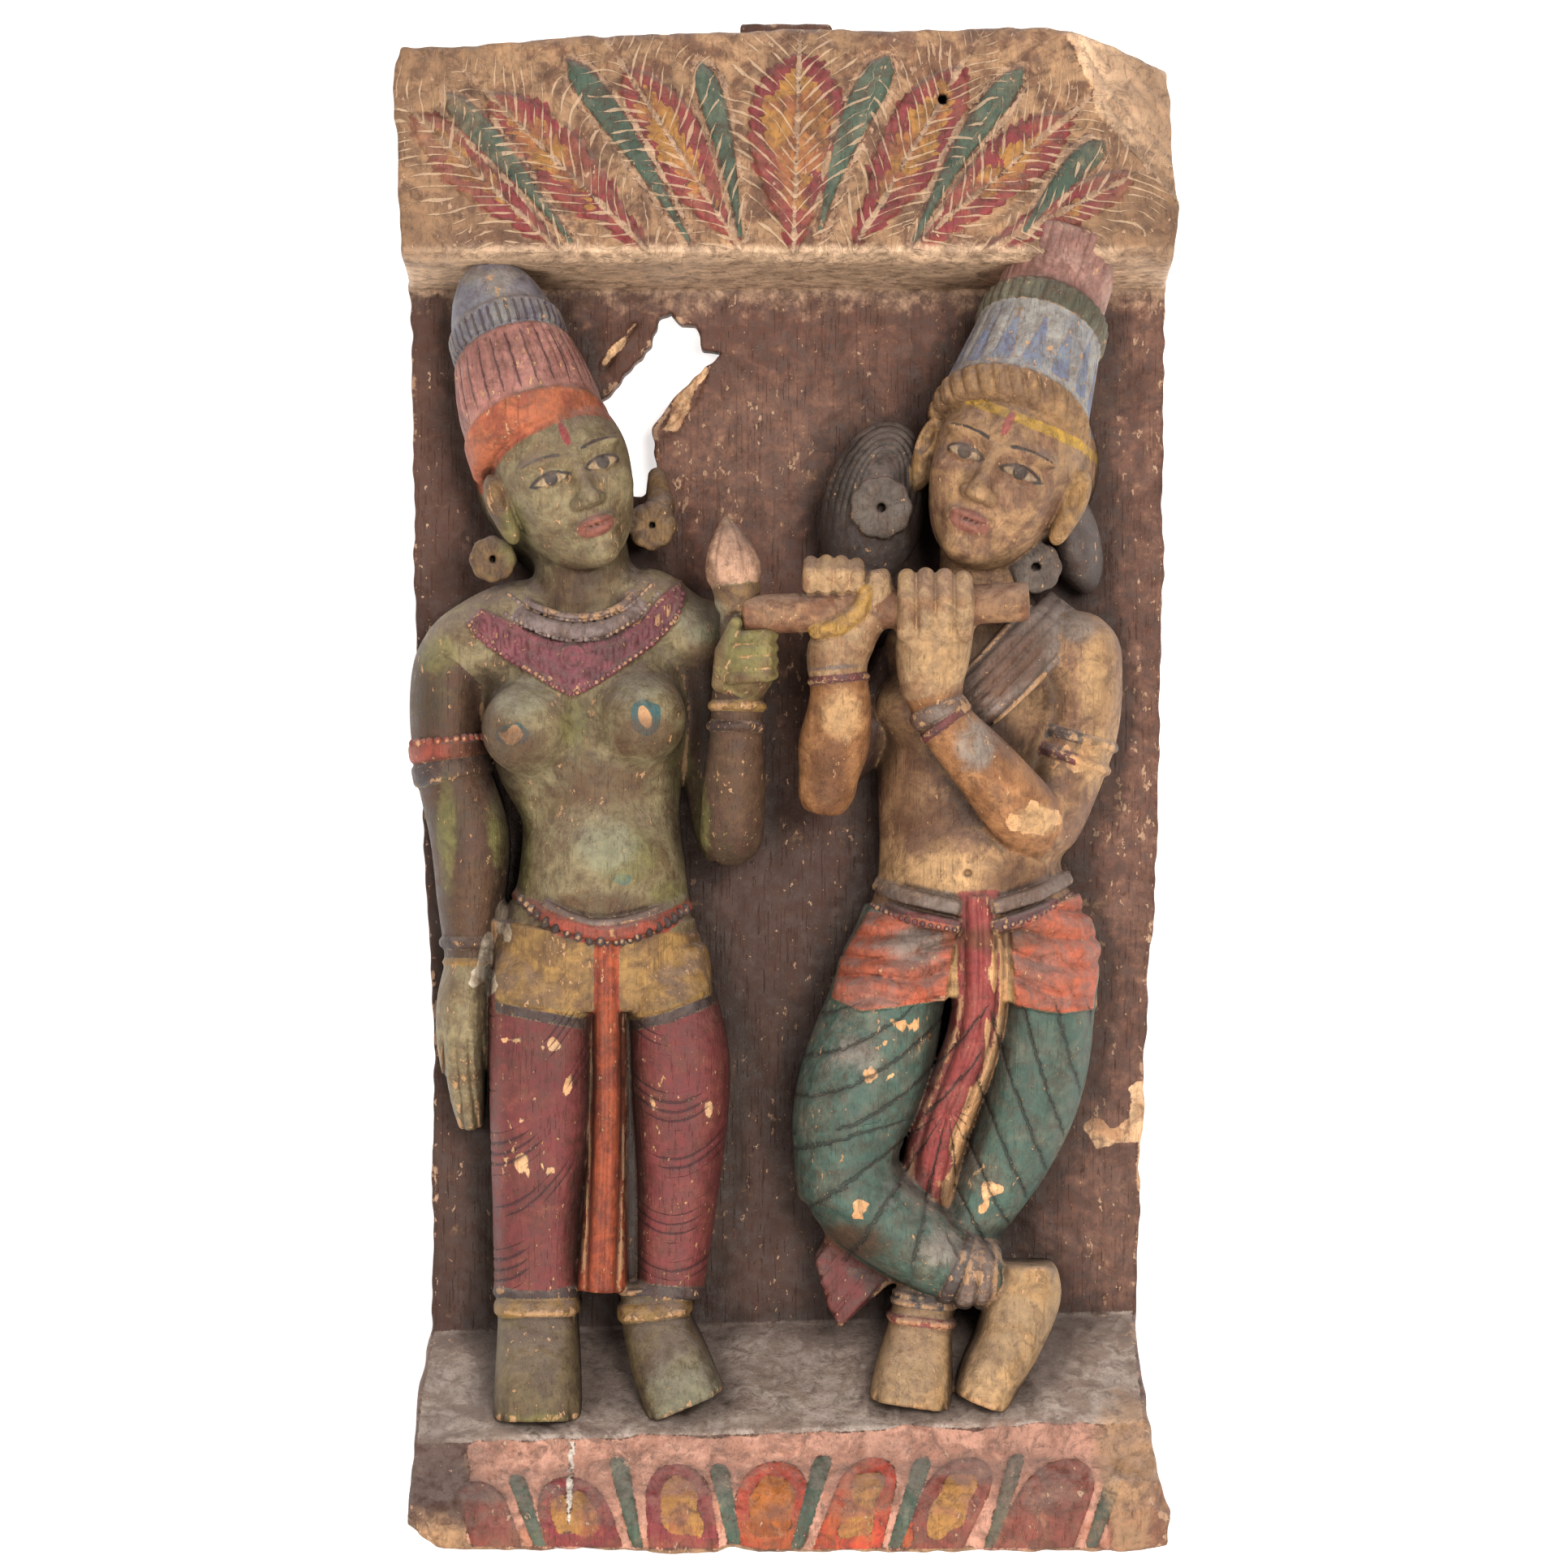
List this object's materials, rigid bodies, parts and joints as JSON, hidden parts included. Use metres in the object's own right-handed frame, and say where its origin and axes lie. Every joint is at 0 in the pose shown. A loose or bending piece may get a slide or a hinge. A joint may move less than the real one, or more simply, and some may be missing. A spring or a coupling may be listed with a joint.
{
  "type": "carved wooden relief panel",
  "caption": "Painted wooden panel carved in high relief with two standing figures between a feathered cornice and a lotus petal base.",
  "frame": {"origin": "centre of the flat back's bounding rectangle, on the back plane", "axes": "the panel lies on its back: +Y towards the cornice, +Z out of the carved face, +X to the viewer's right"},
  "size_m": [0.25, 0.4896, 0.0918],
  "materials": {
    "painted_wood": "matt"
  },
  "bodies": {
    "root": {"carved_panel": "painted_wood"}
  },
  "joints": []
}
